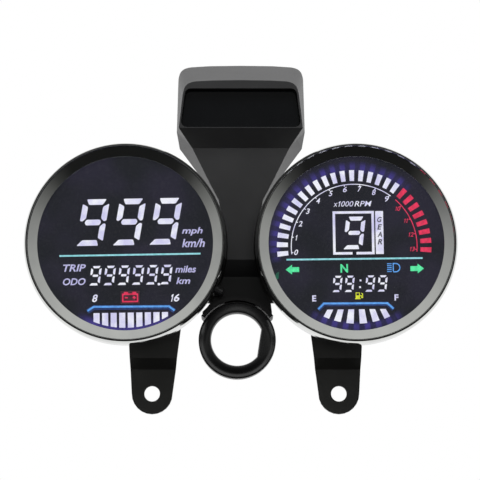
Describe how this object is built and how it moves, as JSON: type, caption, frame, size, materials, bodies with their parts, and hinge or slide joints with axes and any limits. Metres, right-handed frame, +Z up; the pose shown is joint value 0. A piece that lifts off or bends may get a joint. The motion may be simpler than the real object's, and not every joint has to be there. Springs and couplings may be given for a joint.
{
  "type": "motorcycle instrument cluster",
  "caption": "Twin round chrome-cased digital gauges on a black steel bracket, with a hooded centre console, an ignition lock collar and two bolt-down tabs.",
  "frame": {"origin": "midway between the two bolt holes of the bracket's tabs, on the tabs' rear faces", "axes": "gauges face -Y, +X to the viewer's right, +Z up"},
  "size_m": [0.2176, 0.0462, 0.1799],
  "materials": {
    "zinc_steel": "zinc plated",
    "console_plastic": "satin black moulding",
    "smoked_window": "glossy smoked",
    "collar_plastic": "satin black moulding",
    "black_steel": "satin black powder coat",
    "button_rubber": "satin",
    "spring_steel": "bright wire",
    "switch_plastic": "matt",
    "chrome_bezel": "polished",
    "rubber_grommet": "matt",
    "chrome_case": "polished",
    "circuit_board": "solder mask",
    "rubber_damper": "matt",
    "white_plastic": "satin",
    "lcd_display": "glossy dark display",
    "lens_glass": "clear, polished",
    "seal_rubber": "matt",
    "light_guide": "milky"
  },
  "bodies": {
    "cluster": {"collar_screw_left": "zinc_steel", "collar_screw_right": "zinc_steel", "console_rear_cover": "console_plastic", "console_screw_lower": "zinc_steel", "console_screw_top_left": "zinc_steel", "console_screw_top_right": "zinc_steel", "console_shroud": "console_plastic", "console_window": "smoked_window", "ignition_collar": "collar_plastic", "main_bracket": "black_steel", "mode_button_boot": "button_rubber", "mode_button_spring": "spring_steel", "mode_switch": "switch_plastic", "speedo_bezel": "chrome_bezel", "speedo_cable_grommet": "rubber_grommet", "speedo_case": "chrome_case", "speedo_circuit_board": "circuit_board", "speedo_damper_inner": "rubber_damper", "speedo_damper_outer": "rubber_damper", "speedo_display_frame": "white_plastic", "speedo_lcd_panel": "lcd_display", "speedo_lens": "lens_glass", "speedo_lens_seal": "seal_rubber", "speedo_light_guide": "light_guide", "speedo_nut_inner": "zinc_steel", "speedo_nut_outer": "zinc_steel", "speedo_stud_inner": "zinc_steel", "speedo_stud_outer": "zinc_steel", "speedo_washer_inner": "zinc_steel", "speedo_washer_outer": "zinc_steel", "tacho_bezel": "chrome_bezel", "tacho_cable_grommet": "rubber_grommet", "tacho_case": "chrome_case", "tacho_circuit_board": "circuit_board", "tacho_damper_inner": "rubber_damper", "tacho_damper_outer": "rubber_damper", "tacho_display_frame": "white_plastic", "tacho_lcd_panel": "lcd_display", "tacho_lens": "lens_glass", "tacho_lens_seal": "seal_rubber", "tacho_light_guide": "light_guide", "tacho_nut_inner": "zinc_steel", "tacho_nut_outer": "zinc_steel", "tacho_stud_inner": "zinc_steel", "tacho_stud_outer": "zinc_steel", "tacho_washer_inner": "zinc_steel", "tacho_washer_outer": "zinc_steel"},
    "button": {"mode_button": "button_rubber"}
  },
  "joints": [
    {"name": "mode_button_press", "type": "slide", "parent": "cluster", "child": "button", "axis": [-0.8988, 0, 0.4384], "range_m": [0, 0.0015], "stiffness_N_per_m": 400, "springref_m": -0.001, "deforming": ["mode_button_spring"]}
  ]
}
